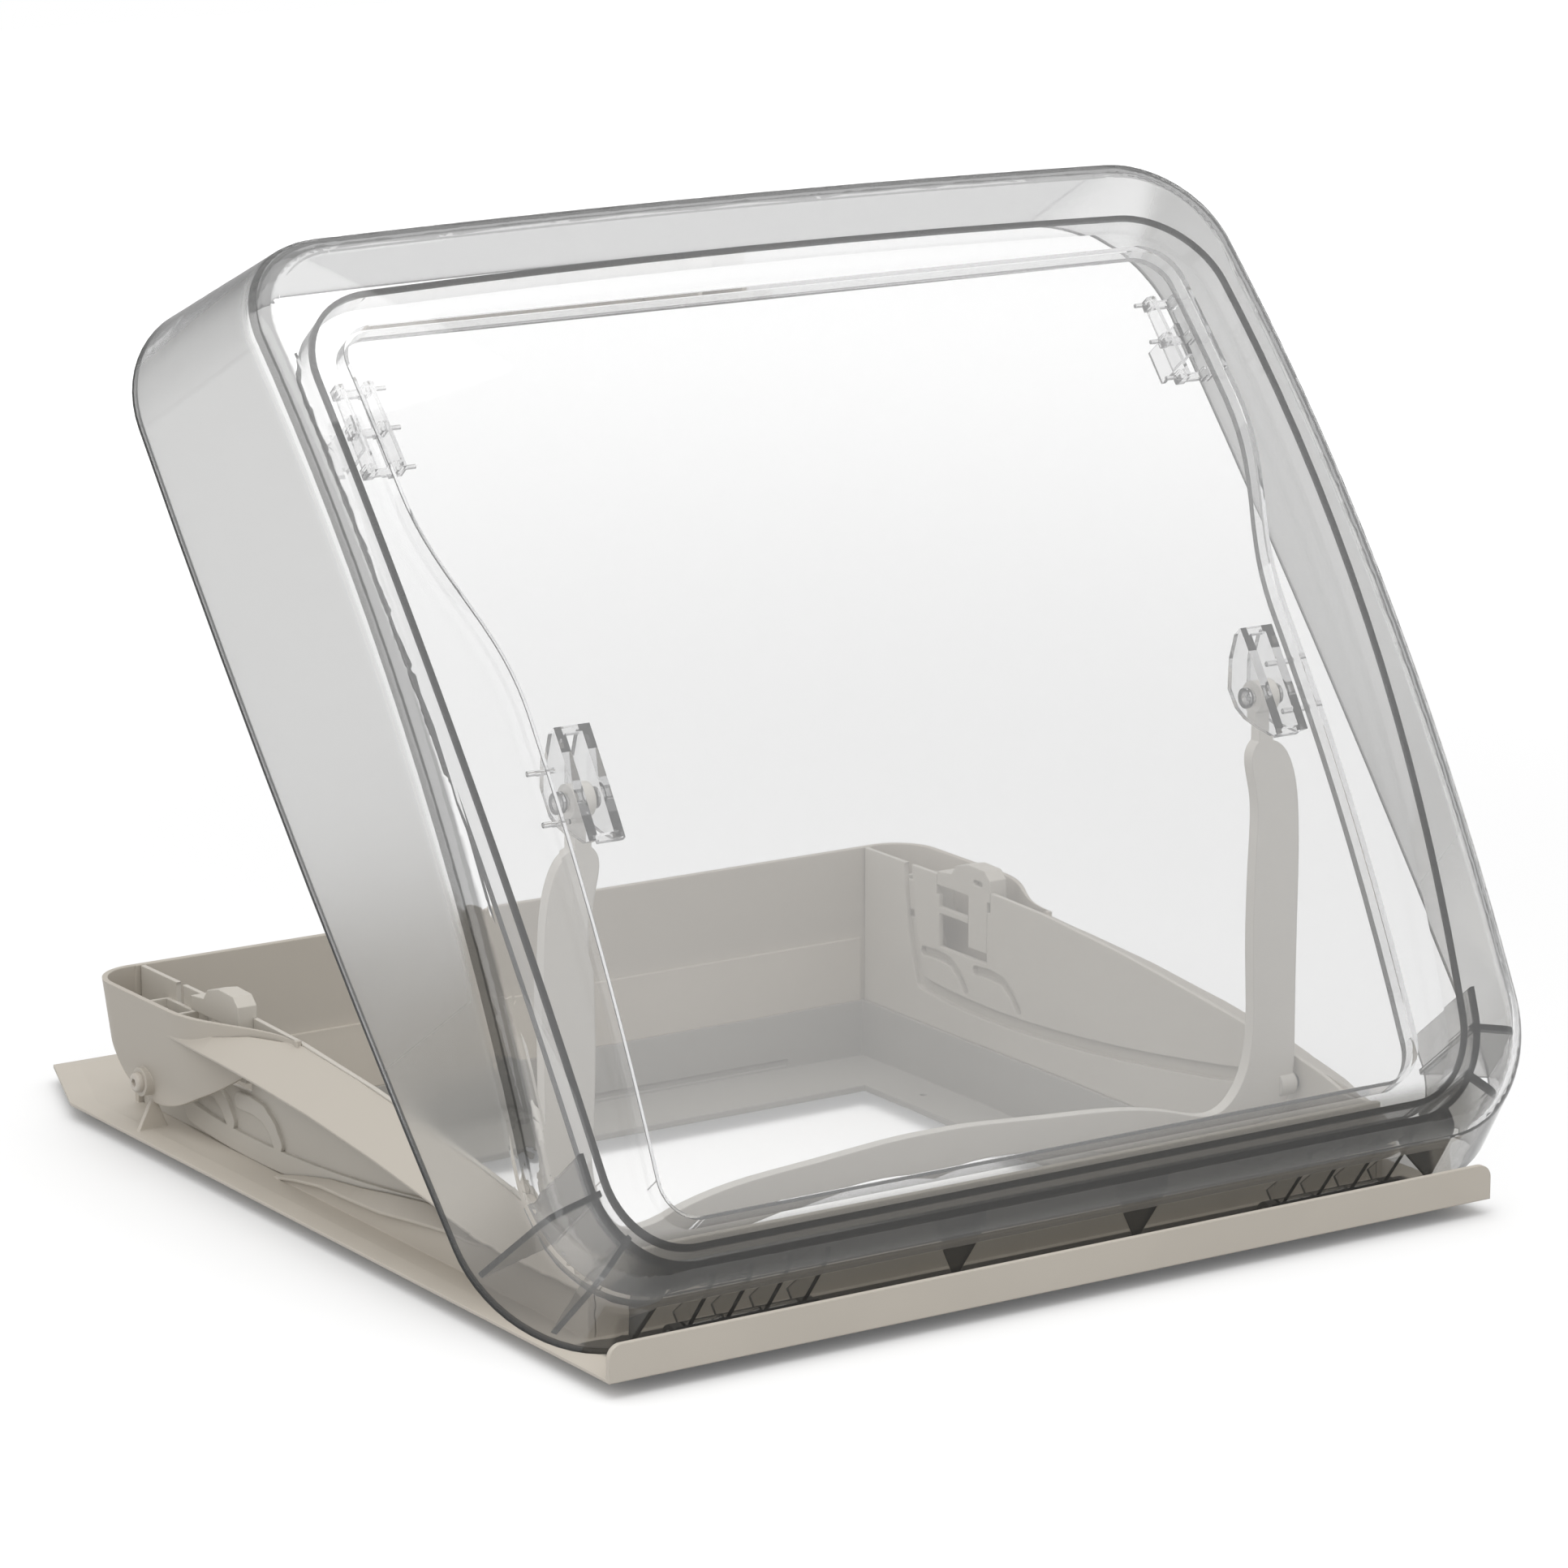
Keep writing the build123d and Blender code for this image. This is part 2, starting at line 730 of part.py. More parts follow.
# Latch slider: a head over the plate's notch and a stem in the plate's upright slot
def latch_slider_right():
    head_height = slider_head_high - slider_head_low
    slider_front = slider_back - slider_length
    with BuildPart() as slider:
        with BuildSketch(Plane.YZ.offset(neck_in)):
            with BuildLine():
                head = [
                    (slider_back - along * slider_length, slider_head_low + up * head_height)
                    for along, up in slider_head_shares
                ]
                ends = [(slider_front, slider_head_low), (slider_back, slider_head_low)]
                Polyline(head + ends, close=True)
            make_face()
        extrude(amount=slider_depth)
        with BuildSketch(Plane.YZ.offset(neck_in)):
            with Locations((stem_middle, (stem_low + slider_head_low) / 2)):
                Rectangle(stem_width, slider_head_low - stem_low)
        extrude(amount=stem_depth)
        with BuildSketch(Plane.YZ.offset(neck_in)):
            with Locations((stem_middle, (slider_head_low + slider_head_high) / 2)):
                SlotOverall(stem_width / 2, slider_mark)
        extrude(amount=slider_mark, mode=Mode.SUBTRACT)
        with BuildSketch(Plane.YZ.offset(plate_out + seat_gap)):
            with Locations((stem_middle, stem_low + stem_width)):
                Rectangle(stem_width + 2 * slider_lip, stem_width)
        extrude(amount=stem_depth - plate_thickness - seat_gap)
    return slider.part


latch_slider = latch_slider_right()
finish(latch_slider, "latch_slider_right")
finish(left_hand(latch_slider), "latch_slider_left")


# Striker in the pocket behind the guide plate: a foot, two cheeks and a bar
def latch_striker_right():
    middle = striker_back - striker_length / 2
    height = striker_high - striker_low
    with BuildPart() as striker:
        with BuildSketch(Plane.YZ.offset(plate_out)):
            with Locations((middle, striker_low + height / 2)):
                Rectangle(striker_length, height)
        extrude(amount=striker_plate)
        for end in (-1, 1):
            with BuildSketch(Plane.YZ.offset(plate_out)):
                with Locations(
                    (middle + end * (striker_length - striker_plate) / 2, striker_low + height / 2)
                ):
                    Rectangle(striker_plate, height)
            extrude(amount=striker_depth)
        with BuildSketch(Plane.XZ.offset(-middle)):
            with Locations((plate_out + striker_depth - striker_bar, striker_high - striker_bar)):
                Circle(striker_bar / 2)
        extrude(amount=striker_length / 2 - striker_plate / 2, both=True)
    return striker.part


latch_striker = latch_striker_right()
finish(latch_striker, "latch_striker_right")
finish(left_hand(latch_striker), "latch_striker_left")


# Pan-head screw through the housing boss
def side_screw_right():
    head_seat = neck_out + housing_foot_reach + boss_height
    with BuildPart() as screw:
        with BuildSketch(Plane.YZ.offset(head_seat)):
            with Locations((side_screw_along, side_screw_height)):
                Circle(side_screw_head / 2)
        extrude(amount=side_screw_head_height)
        fillet(screw.faces().sort_by(Axis.X)[-1].edges(), side_screw_head_height / 2)
        with BuildSketch(Plane.YZ.offset(head_seat)):
            with Locations((side_screw_along, side_screw_height)):
                Circle(side_screw / 2)
        extrude(amount=-side_screw_shank)
        with BuildSketch(Plane.YZ.offset(head_seat + side_screw_head_height)):
            with Locations((side_screw_along, side_screw_height)):
                RegularPolygon(side_screw_socket, 6)
        extrude(amount=-side_screw_head_height / 2, mode=Mode.SUBTRACT)
    return screw.part


screw_right = side_screw_right()
finish(screw_right, "side_screw_right")
finish(left_hand(screw_right), "side_screw_left")


# Hinge pins through the lugs
def hinge_pin_right():
    start = knuckle_inner - lug_gap - lug_thickness
    length = knuckle_outer - knuckle_inner + 2 * (lug_gap + lug_thickness)
    with BuildPart() as pin:
        with BuildSketch(Plane.YZ.offset(start)):
            with Locations((hinge_y, hinge_height)):
                Circle(hinge_pin / 2)
        extrude(amount=length)
    return pin.part


pin_right = hinge_pin_right()
finish(pin_right, "hinge_pin_right")
finish(left_hand(pin_right), "hinge_pin_left")


def ring_outline(front, back, front_half, back_half, side_bow, back_bow, radii):
    # A rounded four-sided outline with gently bowed sides, symmetrical about the middle
    middle = (front + back) / 2
    middle_half = (front_half + back_half) / 2 + side_bow
    with BuildSketch() as ring:
        with BuildLine():
            Line((-front_half, front), (front_half, front))
            ThreePointArc((front_half, front), (middle_half, middle), (back_half, back))
            ThreePointArc((back_half, back), (0, back + back_bow), (-back_half, back))
            ThreePointArc((-back_half, back), (-middle_half, middle), (-front_half, front))
        make_face()
        fillet(ring.vertices().group_by(Axis.Y)[0], radii[0])
        fillet(ring.vertices().group_by(Axis.Y)[-1], radii[1])
    return ring.sketch


def rim_outline(inset):
    return ring_outline(
        -rim_front + inset,
        rim_back - inset,
        rim_front_half - inset,
        rim_back_half - inset,
        rim_side_bow,
        rim_back_bow,
        (rim_front_radius - inset / 2, rim_back_radius - inset / 2),
    )


def loop_outline(inset):
    return ring_outline(
        loop_front + inset,
        loop_back - inset,
        loop_front_half - inset,
        loop_back_half - inset,
        loop_side_bow,
        loop_back_bow,
        (loop_front_radius - inset, loop_back_radius - inset),
    )


def window_outline(grow):
    # The pane's outline, wider behind the bends where the hook brackets stand
    front, back = window_front - grow, window_back + grow
    narrow, wide = window_front_half + grow, window_back_half + grow
    with BuildSketch() as window:
        with BuildLine():
            Polyline((0, front), (narrow, front), (narrow, window_bend_start))
            Spline(
                (narrow, window_bend_start),
                (wide, window_bend_end),
                tangents=[(0, 1), (0, 1)],
            )
            Polyline((wide, window_bend_end), (wide, back), (0, back))
            mirror(about=Plane.YZ)
        make_face()
        for row in (0, -1):
            for end in (0, -1):
                corner = window.vertices().group_by(Axis.Y)[row].sort_by(Axis.X)[end]
                fillet(corner, window_radius + grow)
    return window.sketch


def under_crown(drop):
    # Everything that lies at least drop under the crown, over the dome's whole width
    with BuildPart() as below:
        with BuildSketch(dome_side):
            with Locations((crown_x, crown_y)):
                Circle(crown_radius - drop)
        extrude(amount=rim_back_half + rim_side_bow + overrun, both=True)
    return below.part


def dome_block(inset, foot, round_over):
    # The solid shape of the dome inside its skin: drafted sides and the arched crown
    high = crown_middle_up + 2 * overrun
    with BuildPart() as block:
        for level in (foot, high):
            with BuildSketch(dome_top.offset(level)):
                add(rim_outline(inset + level * tan(radians(dome_draft_angle))))
        loft(ruled=True)
        add(under_crown(inset), mode=Mode.INTERSECT)
        top_face = block.faces().sort_by(dome_up)[-1]
        fillet(top_face.edges(), round_over)
    return block.part


def crown_layer(outline, top_drop, bottom_drop):
    # A layer of the inner shell: an outline between two surfaces parallel to the crown
    with BuildPart() as layer:
        with BuildSketch(dome_top):
            add(outline)
        extrude(amount=crown_middle_up + 2 * overrun)
        add(under_crown(top_drop), mode=Mode.INTERSECT)
        add(under_crown(bottom_drop), mode=Mode.SUBTRACT)
    return layer.part


def gutter_room(top_drop, bottom_drop):
    # The room inside the hollow border, between the loop and the window
    with BuildPart() as room:
        add(crown_layer(loop_outline(shell_skin), top_drop, bottom_drop))
        add(
            crown_layer(window_outline(shell_skin), top_drop - overrun, bottom_drop + overrun),
            mode=Mode.SUBTRACT,
        )
    return room.part


# Outer dome: the clear outer skin, cut away round the hinge knuckles behind the lip
with BuildPart() as outer_dome:
    add(dome_block(0, 0, crown_fillet))
    add(dome_block(dome_wall, -overrun, crown_fillet - dome_wall), mode=Mode.SUBTRACT)
    notch_low = knuckle_inner - lug_gap - lug_thickness - lug_gap
    notch_high = knuckle_outer + lug_gap + lug_thickness + lug_gap
    notch_height = hinge_barrel / 2 + lip_thickness
    for side in (1, -1):
        with BuildSketch(dome_side.offset(side * notch_low)):
            with Locations((0, notch_height / 2)):
                Rectangle(4 * rim_front, notch_height)
        extrude(amount=side * (notch_high - notch_low), mode=Mode.SUBTRACT)
finish(outer_dome.part, "outer_dome")

# Inner dome: the bonded inner shell, a hollow border round the raised pane
with BuildPart() as inner_dome:
    skin_top = dome_wall + bond_gap
    border_top = dome_wall + border_drop
    pane_top = dome_wall + pane_drop
    add(crown_layer(loop_outline(0), skin_top, border_top + shell_skin))
    add(crown_layer(loop_outline(shell_skin), 0, pane_top), mode=Mode.SUBTRACT)
    add(gutter_room(pane_top - overrun, border_top), mode=Mode.SUBTRACT)
    add(
        crown_layer(window_outline(0), pane_top + shell_skin, 2 * border_top),
        mode=Mode.SUBTRACT,
    )
finish(inner_dome.part, "inner_dome")


# Rib bar: the clear wall and ribs inside the front skirt, trimmed to the dome's inner face
with BuildPart() as rib_bar:
    bar_grow = loop_front - rib_bar_along
    corner_x = loop_front_half - loop_front_radius
    corner_y = loop_front + loop_front_radius
    rib_reach = loop_front_radius + bar_grow + rib_bar_side
    with BuildSketch(dome_top.offset(rib_bar_foot)):
        add(loop_outline(-bar_grow))
        add(loop_outline(-bar_grow + rib_bar_wall), mode=Mode.SUBTRACT)
        with Locations((0, rib_bar_side / 2)):
            Rectangle(2 * rim_back_half, rib_bar_side, mode=Mode.INTERSECT)
        for side in (1, -1):
            with Locations((side * centre_rib_place, 0)):
                Rectangle(rib_thickness, 2 * rib_bar_along + rib_bar_wall)
            for rib in range(corner_ribs):
                turn = -side * (corner_rib_first + rib * corner_rib_step)
                away = (loop_front_radius + bar_grow + rib_reach) / 2
                x = side * (corner_x + away * cos(radians(turn)))
                y = corner_y - away * sin(radians(abs(turn)))
                with Locations(Location((x, y, 0), (0, 0, turn))):
                    Rectangle(rib_bar_side, rib_thickness)
    extrude(amount=crown_middle_up)
    add(dome_block(dome_wall + bond_gap, -overrun, crown_fillet - dome_wall), mode=Mode.INTERSECT)
finish(rib_bar.part, "front_rib_bar")


# Hinge knuckle: a clear barrel with ribs up the inside of the front skirt
def hinge_knuckle_right():
    length = knuckle_outer - knuckle_inner
    with BuildPart() as knuckle:
        for rib in range(ribs_per_knuckle):
            x = knuckle_inner + rib * (length - rib_thickness) / (ribs_per_knuckle - 1)
            with BuildSketch(dome_side.offset(x)):
                with Locations((rib_bar_along / 2 - rim_front, crown_front_up / 2)):
                    Rectangle(rib_bar_along + rim_front, crown_front_up)
            extrude(amount=rib_thickness)
        add(
            dome_block(dome_wall + bond_gap, -overrun, crown_fillet - dome_wall),
            mode=Mode.INTERSECT,
        )
        with BuildSketch(dome_side.offset(knuckle_inner)):
            Circle(hinge_barrel / 2)
        extrude(amount=length)
        with BuildSketch(dome_side.offset(knuckle_inner)):
            Circle(hinge_pin / 2 + running_gap)
        extrude(amount=length, mode=Mode.SUBTRACT)
    return knuckle.part


knuckle_right = hinge_knuckle_right()
finish(knuckle_right, "hinge_knuckle_right")
finish(left_hand(knuckle_right), "hinge_knuckle_left")


# Bow bracket: two clear ears under the pane that carry the pivot, tied by webs at their ends,
# with two rods that run out under the border
def bow_bracket_right():
    clear_drop = dome_wall + pane_drop + shell_skin + bond_gap
    rod_drop = dome_wall + border_drop + shell_skin + bond_gap + ear_rod / 2
    inner_ear = bow_eye_middle - bow_eye_length / 2 - ear_gap - ear_thickness
    outer_ear = bow_eye_middle + bow_eye_length / 2 + ear_gap
    outline = [
        (pivot_along + along * ear_length, pivot_up + up * ear_depth) for along, up in ear_shares
    ]
    with BuildPart() as bracket:
        for ear in (inner_ear, outer_ear):
            with BuildSketch(dome_side.offset(ear)):
                with BuildLine():
                    ends = [(outline[-1][0], crown_middle_up), (outline[0][0], crown_middle_up)]
                    Polyline(outline + ends, close=True)
                make_face()
            extrude(amount=ear_thickness)
        with BuildSketch(dome_side.offset(inner_ear)):
            for place in (outline[0][0] - ear_web / 2, outline[-1][0] + ear_web / 2):
                with Locations((place, crown_height(place, clear_drop))):
                    Rectangle(ear_web, 2 * ear_web)
        extrude(amount=outer_ear - inner_ear)
        with BuildSketch(dome_side.offset(outer_ear)):
            for place in (pivot_along - ear_rod_front, pivot_along + ear_rod_back):
                with Locations((place, crown_height(place, rod_drop))):
                    Circle(ear_rod / 2)
        extrude(amount=ear_thickness + ear_rod_reach)
        add(under_crown(clear_drop), mode=Mode.INTERSECT)
        with BuildSketch(dome_side.offset(inner_ear)):
            with Locations((pivot_along, pivot_up)):
                Circle(pivot_pin / 2)
        extrude(amount=outer_ear + ear_thickness - inner_ear, mode=Mode.SUBTRACT)
    return bracket.part


bracket_right = bow_bracket_right()
finish(bracket_right, "bow_bracket_right")
finish(left_hand(bracket_right), "bow_bracket_left")


# Hook bracket: two clear rails with thicker blocks under the border, cross bars, pegs that
# point inward and a leg beside the striker
def hook_bracket_right():
    clear_drop = dome_wall + border_drop + shell_skin + bond_gap
    rail_low = crown_height(hook_along, clear_drop) - hook_depth
    places = [hook_along + end * (hook_length - hook_block) / 2 for end in (-1, 0, 1)]
    with BuildPart() as hook:
        for end in (-1, 1):
            x = hook_middle + end * hook_spread / 2
            with BuildSketch(dome_side.offset(x - hook_rail / 2)):
                with Locations((hook_along, rail_low + hook_depth)):
                    Rectangle(hook_length, 2 * hook_depth)
            extrude(amount=hook_rail)
            with BuildSketch(dome_side.offset(x - hook_block / 2)):
                for place in places:
                    with Locations((place, rail_low + hook_block_depth / 2)):
                        Rectangle(hook_block, hook_block_depth)
            extrude(amount=hook_block)
        with BuildSketch(dome_side.offset(hook_middle - hook_spread / 2)):
            for place in places:
                with Locations((place, rail_low + hook_cross / 2)):
                    Rectangle(hook_cross, hook_cross)
        extrude(amount=hook_spread)
        with BuildSketch(dome_side.offset(hook_middle - hook_spread / 2)):
            for place in places:
                with Locations((place, rail_low + hook_block_depth / 2)):
                    Circle(hook_peg / 2)
        extrude(amount=-hook_block / 2 - hook_peg_reach)
        with BuildSketch(dome_side.offset(hook_leg_place - hook_leg / 2)):
            leg_top = rail_low + hook_cross
            with Locations((hook_along, (leg_top + hook_leg_foot) / 2)):
                Rectangle(hook_leg_length, leg_top - hook_leg_foot)
        extrude(amount=hook_leg)
        add(under_crown(clear_drop), mode=Mode.INTERSECT)
    return hook.part


hook_right = hook_bracket_right()
finish(hook_right, "hook_bracket_right")
finish(left_hand(hook_right), "hook_bracket_left")


# Pivot pin with a head on each side of the bracket
def pivot_pin_right():
    inner_face = bow_eye_middle - bow_eye_length / 2 - ear_gap - ear_thickness
    span = bow_eye_length + 2 * (ear_gap + ear_thickness)
    with BuildPart() as pin:
        with BuildSketch(dome_side.offset(inner_face)):
            with Locations((pivot_along, pivot_up)):
                Circle(pivot_pin / 2)
        extrude(amount=span)
        for face_x, way in ((inner_face, -1), (inner_face + span, 1)):
            with BuildSketch(dome_side.offset(face_x)):
                with Locations((pivot_along, pivot_up)):
                    Circle(pin_head / 2)
            extrude(amount=way * pin_head_height)
    return pin.part


pivot_right = pivot_pin_right()
finish(pivot_right, "bow_pivot_pin_right")
finish(left_hand(pivot_right), "bow_pivot_pin_left")

pivot_y, pivot_z = swung(pivot_along, pivot_up, 0)
pin_y, pin_z = pin_place(0, 0)


def bow_outline():
    # The bow seen from the front: from each narrow neck a broad arm down to the arched bar
    arm_inner = bow_arm_middle - bow_arm_width / 2
    eye_in, eye_out = bow_eye_middle - bow_eye_length / 2, bow_eye_middle + bow_eye_length / 2
    neck_low = pivot_z - bow_neck_length
    inner_edge = [(eye_in, neck_low)]
    inner_edge += [
        (arm_inner + across * bow_arm_width, pivot_z - down * bow_length)
        for across, down in arm_inner_shares
    ]
    inner_edge += [(x * bow_arm_middle, pin_z + up * bow_length) for x, up in bar_top_shares]
    outer_edge = [(eye_out, neck_low)]
    outer_edge += [
        (arm_inner + across * bow_arm_width, pivot_z - down * bow_length)
        for across, down in arm_outer_shares
    ]
    outer_edge += [(x * bow_arm_middle, pin_z + up * bow_length) for x, up in bar_foot_shares]
    with BuildSketch() as outline:
        with BuildLine():
            inner_line = Spline(inner_edge)
            outer_line = Spline(outer_edge)
            Polyline(inner_line @ 0, (eye_in, pivot_z), (eye_out, pivot_z), outer_line @ 0)
            mirror(about=Plane.YZ)
        make_face()
    return outline.sketch


# Bow: the flat U, an eye along the pivot at the top of each arm and a boss round each pin
with BuildPart() as bow:
    with BuildSketch(Plane.XZ.offset(-pin_y + bow_thickness / 2)):
        add(bow_outline())
    extrude(amount=-bow_thickness)
    for side in (1, -1):
        with BuildSketch(Plane.YZ.offset(side * (bow_eye_middle - bow_eye_length / 2))):
            with Locations((pivot_y, pivot_z)):
                Circle(bow_eye_radius)
        extrude(amount=side * bow_eye_length)
        with BuildSketch(Plane.YZ.offset(side * bow_arm_outer)):
            with Locations((pin_y, pin_z)):
                Circle(bow_boss_radius)
        extrude(amount=-side * bow_boss_length)
        with BuildSketch(Plane.YZ.offset(side * bow_arm_outer)):
            with Locations((pin_y, pin_z)):
                Circle(slide_pin / 2)
        extrude(amount=-side * slide_pin_grip, mode=Mode.SUBTRACT)
    with BuildSketch(Plane.YZ.offset(-bow_eye_middle - bow_eye_length)):
        with Locations((pivot_y, pivot_z)):
            Circle(pivot_pin / 2 + running_gap)
    extrude(amount=2 * (bow_eye_middle + bow_eye_length), mode=Mode.SUBTRACT)
finish(bow.part, "bow")


# Slide pins pressed into the arms' feet, running in the tracks
def slide_pin_right():
    start = bow_arm_outer - slide_pin_grip
    with BuildPart() as pin:
        with BuildSketch(Plane.YZ.offset(start)):
            with Locations((pin_y, pin_z)):
                Circle(slide_pin / 2)
        extrude(amount=plate_out - start)
    return pin.part


slide_right = slide_pin_right()
finish(slide_right, "slide_pin_right")
finish(left_hand(slide_right), "slide_pin_left")
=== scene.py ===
import json
import math

import bmesh
import bpy
from mathutils import Matrix, Vector

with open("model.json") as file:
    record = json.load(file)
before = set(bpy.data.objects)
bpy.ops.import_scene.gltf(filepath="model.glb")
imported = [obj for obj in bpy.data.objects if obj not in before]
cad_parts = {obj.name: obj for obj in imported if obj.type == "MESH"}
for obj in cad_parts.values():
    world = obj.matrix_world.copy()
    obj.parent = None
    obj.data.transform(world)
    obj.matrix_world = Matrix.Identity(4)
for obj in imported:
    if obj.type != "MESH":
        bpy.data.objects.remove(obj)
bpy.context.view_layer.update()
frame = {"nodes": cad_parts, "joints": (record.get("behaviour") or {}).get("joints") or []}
nodes = frame["nodes"]
print("frame loaded:", len(nodes), "nodes")


class Signal:
    # A socket of a node tree; an expression on signals adds its Math nodes
    def __init__(self, finish, socket):
        self.finish = finish
        self.socket = socket

    def out(self, name):
        return Signal(self.finish, self.socket.node.outputs[name])

    def maths(self, operation, first, second=None):
        values = {0: first} if second is None else {0: first, 1: second}
        return self.finish.add("ShaderNodeMath", {"operation": operation}, values)

    def __add__(self, other):
        return self.maths("ADD", self, other)

    def __radd__(self, other):
        return self.maths("ADD", other, self)

    def __sub__(self, other):
        return self.maths("SUBTRACT", self, other)

    def __rsub__(self, other):
        return self.maths("SUBTRACT", other, self)

    def __mul__(self, other):
        return self.maths("MULTIPLY", self, other)

    def __rmul__(self, other):
        return self.maths("MULTIPLY", other, self)

    def __pow__(self, other):
        return self.maths("POWER", self, other)

    def __abs__(self):
        return self.maths("ABSOLUTE", self)


class Finish:
    # A procedural material (or the world); add makes any node and gives its first output
    def __init__(self, name, world=False):
        self.block = bpy.data.worlds.new(name) if world else bpy.data.materials.new(name)
        self.block.use_nodes = True
        self.tree = self.block.node_tree
        self.tree.nodes.clear()
        kind = "ShaderNodeOutputWorld" if world else "ShaderNodeOutputMaterial"
        self.output = self.tree.nodes.new(kind)

    def add(self, kind, settings=None, inputs=None):
        node = self.tree.nodes.new(kind)
        for name, value in (settings or {}).items():
            setattr(node, name, value)
        for name, value in (inputs or {}).items():
            if isinstance(value, Signal):
                self.tree.links.new(value.socket, node.inputs[name])
            else:
                node.inputs[name].default_value = value
        first = [socket for socket in node.outputs if socket.enabled][0]
        return Signal(self, first)

    def spot(self):
        # The point on the piece, at its rest place
        return self.add("ShaderNodeTexCoord").out("Object")

    def noise(self, spot, scale, detail):
        inputs = {"Vector": spot, "Scale": scale, "Detail": detail}
        return self.add("ShaderNodeTexNoise", {}, inputs)

    def smooth(self, signal, low, high):
        # 0 below low, 1 above high, eased between
        settings = {"interpolation_type": "SMOOTHSTEP"}
        inputs = {"Value": signal, "From Min": low, "From Max": high}
        return self.add("ShaderNodeMapRange", settings, inputs)

    def fade(self, signal, low, high):
        # 1 below low, 0 above high, eased between
        return 1 - self.smooth(signal, low, high)

    def blend(self, amount, first, second):
        # Colour mix by a signal
        inputs = {"Factor": amount, 6: first, 7: second}
        return self.add("ShaderNodeMix", {"data_type": "RGBA"}, inputs)

    def surface(self, shader):
        self.tree.links.new(shader.socket, self.output.inputs["Surface"])
        return self.block

    def tinted(self, density):
        # Grey plastic: light fades along its way through the solid
        inputs = {"Color": grey(0), "Density": density}
        inside = self.add("ShaderNodeVolumeAbsorption", {}, inputs)
        self.tree.links.new(inside.socket, self.output.inputs["Volume"])


def grey(level):
    return (level, level, level, 1.0)


def rgb(red, green, blue):
    # A colour given in screen values, turned to the renderer's linear values
    return tuple(
        value / 12.92 if value <= 0.04045 else ((value + 0.055) / 1.055) ** 2.4
        for value in (red / 255, green / 255, blue / 255)
    ) + (1.0,)


def shade(colour, share):
    # The same colour darker or lighter, but not past white
    return tuple(min(value * share, 1.0) for value in colour[:3]) + (1.0,)


# Camera: the photograph's own, solved from the frame's right angles
cameraPlace = {
    "position": (-1.45969, -2.24472, 0.80923),
    "turn": 33.4146,
    "tilt": 13.5549,
    "roll": 0.05,
    "lens": 144.36,
    "sensor": 36.0,
    "farClip": 50.0,
}


def addCamera(place):
    data = bpy.data.cameras.new("photoCamera")
    data.lens = place["lens"]
    data.sensor_width = place["sensor"]
    data.clip_end = place["farClip"]
    camera = bpy.data.objects.new("photoCamera", data)
    camera.location = place["position"]
    look = Matrix.Rotation(math.radians(-place["turn"]), 4, "Z")
    look = look @ Matrix.Rotation(math.radians(90 - place["tilt"]), 4, "X")
    look = look @ Matrix.Rotation(math.radians(place["roll"]), 4, "Z")
    camera.rotation_euler = look.to_euler()
    bpy.context.scene.collection.objects.link(camera)
    bpy.context.scene.camera = camera


addCamera(cameraPlace)

# Lamps: broad and soft, from the upper left, from overhead and, weaker, from the front
lampAim = (0, 0, 0.1)
lamps = {
    "mainLamp": {"at": (-1.7, -0.8, 2.0), "size": 2.0, "watts": 15.0},
    "overheadLamp": {"at": (-0.35, -0.2, 2.5), "size": 2.4, "watts": 22.0},
    "frontLamp": {"at": (-0.5, -2.9, 1.2), "size": 1.6, "watts": 6.5},
}


def addLamp(name, lamp):
    data = bpy.data.lights.new(name, "AREA")
    data.energy = lamp["watts"]
    data.shape = "SQUARE"
    data.size = lamp["size"]
    light = bpy.data.objects.new(name, data)
    light.location = lamp["at"]
    aim = Vector(lampAim) - Vector(lamp["at"])
    light.rotation_euler = aim.to_track_quat("-Z", "Y").to_euler()
    bpy.context.scene.collection.objects.link(light)


for lampName, lamp in lamps.items():
    addLamp(lampName, lamp)

# Studio world: white to the camera, dimmer overhead through the clear plastic, and dim in
# reflections; ambient is what lights the object
studio = {"ambient": 0.80, "cap": 0.30, "mirror": 0.5, "capStart": 0.45, "capEnd": 0.85}


def studioWorld(studio):
    world = Finish("studio", world=True)
    path = world.add("ShaderNodeLightPath")
    seen = path.out("Is Camera Ray")
    mirrored = path.out("Is Glossy Ray")
    passed = path.out("Is Transmission Ray")
    way = world.add("ShaderNodeTexCoord").out("Generated")
    height = world.add("ShaderNodeSeparateXYZ", {}, {0: way}).out("Z")
    cap = world.smooth(height, studio["capStart"], studio["capEnd"])
    through = 1 - cap * (1 - studio["cap"])
    bent = mirrored * studio["mirror"] + (1 - mirrored) * through
    clear = world.add("ShaderNodeMath", {"operation": "MAXIMUM"}, {0: mirrored, 1: passed})
    strength = seen + (1 - seen) * (clear * bent + (1 - clear) * studio["ambient"])
    light = world.add("ShaderNodeBackground", {}, {"Color": grey(1), "Strength": strength})
    bpy.context.scene.world = world.surface(light)


studioWorld(studio)

# Floor: the roof's plane with a square opening for the neck, and a white ground under it
floor = {
    "size": 8.0,
    "level": -0.007,
    "opening": 0.404,
    "ground": -0.047,
    "groundSize": 0.7,
    "albedo": 0.8,
    "bounce": 0.5,
    "groundGlow": 0.34,
    "glowNear": 0.08,
    "glowFar": 0.52,
    "nearEdge": 0.45,
    "farEdge": 2.6,
}


